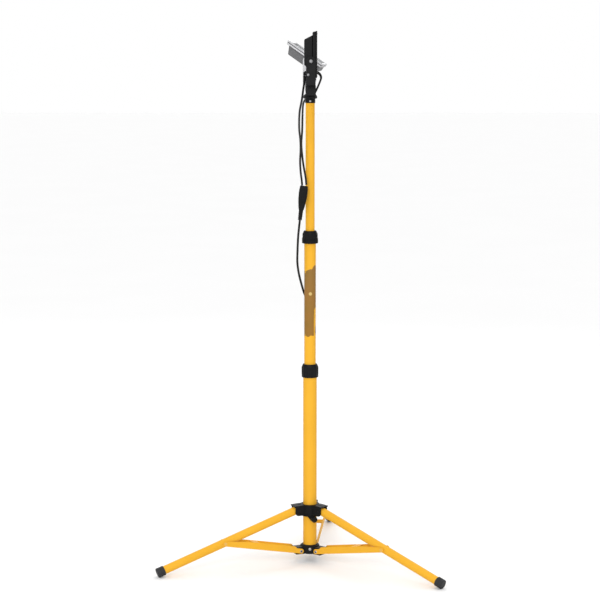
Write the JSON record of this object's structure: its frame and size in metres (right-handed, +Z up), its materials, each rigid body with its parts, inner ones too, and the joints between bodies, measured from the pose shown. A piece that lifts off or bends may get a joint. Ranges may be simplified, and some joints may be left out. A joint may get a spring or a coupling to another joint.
{
  "type": "twin LED work light on a tripod",
  "caption": "Twin LED floodlights on a crossbar, on a telescopic mast with a folding tripod base and a mains lead.",
  "frame": {"origin": "on the floor, at the middle of the box round the stand and lamps; the mast axis is at x 0.030, y -0.052", "axes": "+Z up along the mast, +X the way the upright lamp faces, the crossbar along Y"},
  "size_m": [0.7884, 0.7975, 1.477],
  "materials": {
    "yellow_paint": "semi-gloss powder coat",
    "black_plastic": "matt moulded",
    "black_metal": "fine satin powder coat",
    "grey_metal": "satin",
    "silver_paint": "satin silver",
    "steel": "bright zinc",
    "rubber": "matt",
    "lamp_glass": "clear, polished",
    "led_board": "white board with yellow chips"
  },
  "bodies": {
    "stand": {"lower_tube": "yellow_paint", "mast_end_plug": "black_plastic", "lower_hub": "black_plastic", "lower_hub_screw": "steel", "lower_collar_bush": "black_plastic", "brace_pin_1": "steel", "brace_pin_2": "steel", "brace_pin_3": "steel"},
    "hub": {"upper_hub": "black_plastic", "leg_pin_1": "steel", "leg_pin_2": "steel", "leg_pin_3": "steel"},
    "lock_knob": {"hub_knob": "black_plastic"},
    "leg_1": {"leg_tube_1": "yellow_paint", "foot_cap_1": "rubber"},
    "brace_arm_1": {"brace_1": "yellow_paint"},
    "leg_2": {"leg_tube_2": "yellow_paint", "foot_cap_2": "rubber"},
    "brace_arm_2": {"brace_2": "yellow_paint"},
    "leg_3": {"leg_tube_3": "yellow_paint", "foot_cap_3": "rubber"},
    "brace_arm_3": {"brace_3": "yellow_paint"},
    "lower_lock": {"lower_collar": "black_plastic"},
    "middle_mast": {"middle_tube": "yellow_paint", "upper_collar_bush": "black_plastic", "cord_hank": "rubber", "hank_tie": "rubber", "mains_plug": "black_plastic"},
    "upper_lock": {"upper_collar": "black_plastic"},
    "upper_mast": {"upper_tube": "yellow_paint"},
    "head": {"mast_socket": "black_plastic", "socket_screw": "steel", "crossbar": "black_metal", "crossbar_cap_right": "black_plastic", "crossbar_cap_left": "black_plastic", "bracket_bolt_right": "steel", "bracket_bolt_left": "steel", "lead_right": "rubber", "lead_left": "rubber", "cord_splitter": "rubber", "mains_cord": "rubber"},
    "arm_right": {"bracket_right": "black_metal", "bracket_screw_right": "steel"},
    "lamp_right": {"housing_right": "black_metal", "bezel_right": "black_metal", "glass_right": "lamp_glass", "led_board_right": "led_board", "cable_gland_right": "rubber", "pivot_bolt_right_inner": "steel", "pivot_bolt_right_outer": "steel"},
    "arm_left": {"bracket_left": "silver_paint", "bracket_screw_left": "steel"},
    "lamp_left": {"housing_left": "grey_metal", "bezel_left": "silver_paint", "glass_left": "lamp_glass", "led_board_left": "led_board", "cable_gland_left": "rubber", "pivot_bolt_left_inner": "steel", "pivot_bolt_left_outer": "steel"}
  },
  "joints": [
    {"name": "hub_slide", "type": "slide", "parent": "stand", "child": "hub", "axis": [0, 0, 1], "range_m": [0, 0.3414]},
    {"name": "leg_fold_1", "type": "hinge", "parent": "hub", "child": "leg_1", "pos_m": [0.06152, -0.07663, 0.1505], "axis": [0.6157, 0.788, 0], "range_deg": [0, 71.38]},
    {"name": "brace_fold_1", "type": "hinge", "parent": "stand", "child": "brace_arm_1", "pos_m": [0.05522, -0.0717, 0.034], "axis": [-0.6157, -0.788, 0], "range_deg": [0, 77.16]},
    {"name": "leg_fold_2", "type": "hinge", "parent": "hub", "child": "leg_2", "pos_m": [0.03557, -0.01239, 0.1505], "axis": [-0.9903, 0.1392, 0], "range_deg": [0, 71.38]},
    {"name": "brace_fold_2", "type": "hinge", "parent": "stand", "child": "brace_arm_2", "pos_m": [0.03445, -0.02031, 0.034], "axis": [0.9903, -0.1392, 0], "range_deg": [0, 77.16]},
    {"name": "leg_fold_3", "type": "hinge", "parent": "hub", "child": "leg_3", "pos_m": [-0.00709, -0.06698, 0.1505], "axis": [0.3746, -0.9272, 0], "range_deg": [0, 71.38]},
    {"name": "brace_fold_3", "type": "hinge", "parent": "stand", "child": "brace_arm_3", "pos_m": [0.00033, -0.06399, 0.034], "axis": [-0.3746, 0.9272, 0], "range_deg": [0, 77.16]},
    {"name": "lock_knob_turn", "type": "hinge", "parent": "hub", "child": "lock_knob", "pos_m": [0.04197, -0.08489, 0.1275], "axis": [0.342, -0.9397, 0], "range_deg": [0, 180]},
    {"name": "lower_lock_turn", "type": "hinge", "parent": "stand", "child": "lower_lock", "pos_m": [0.03, -0.052, 0.545], "axis": [0, 0, 1], "range_deg": [0, 90]},
    {"name": "middle_slide", "type": "slide", "parent": "stand", "child": "middle_mast", "axis": [0, 0, 1], "range_m": [-0.335, 0]},
    {"name": "upper_lock_turn", "type": "hinge", "parent": "middle_mast", "child": "upper_lock", "pos_m": [0.03, -0.052, 0.918], "axis": [0, 0, 1], "range_deg": [0, 90]},
    {"name": "upper_slide", "type": "slide", "parent": "middle_mast", "child": "upper_mast", "axis": [0, 0, 1], "range_m": [-0.345, 0], "deforming": ["mains_cord"]},
    {"name": "head_turn", "type": "hinge", "parent": "upper_mast", "child": "head", "pos_m": [0.03, -0.052, 1.3], "axis": [0, 0, 1], "range_deg": [-90, 90]},
    {"name": "pan_right", "type": "hinge", "parent": "head", "child": "arm_right", "pos_m": [0.03, -0.302, 1.339], "axis": [0, 0, 1], "range_deg": [-20, 30]},
    {"name": "tilt_right", "type": "hinge", "parent": "arm_right", "child": "lamp_right", "pos_m": [0.03, -0.302, 1.4], "axis": [0, -1, 0], "range_deg": [-45, 90], "deforming": ["lead_right"]},
    {"name": "pan_left", "type": "hinge", "parent": "head", "child": "arm_left", "pos_m": [0.03, 0.198, 1.339], "axis": [0, 0, 1], "range_deg": [-25, 35]},
    {"name": "tilt_left", "type": "hinge", "parent": "arm_left", "child": "lamp_left", "pos_m": [0.03, 0.198, 1.4], "axis": [-0.0872, -0.9962, 0], "range_deg": [-40, 35], "deforming": ["lead_left"]}
  ],
  "couplings": [
    {"joint": "leg_fold_1", "follows": "hub_slide", "rad_per_m": 3.6466},
    {"joint": "brace_fold_1", "follows": "hub_slide", "rad_per_m": 3.9423},
    {"joint": "leg_fold_2", "follows": "hub_slide", "rad_per_m": 3.6466},
    {"joint": "brace_fold_2", "follows": "hub_slide", "rad_per_m": 3.9423},
    {"joint": "leg_fold_3", "follows": "hub_slide", "rad_per_m": 3.6466},
    {"joint": "brace_fold_3", "follows": "hub_slide", "rad_per_m": 3.9423}
  ]
}
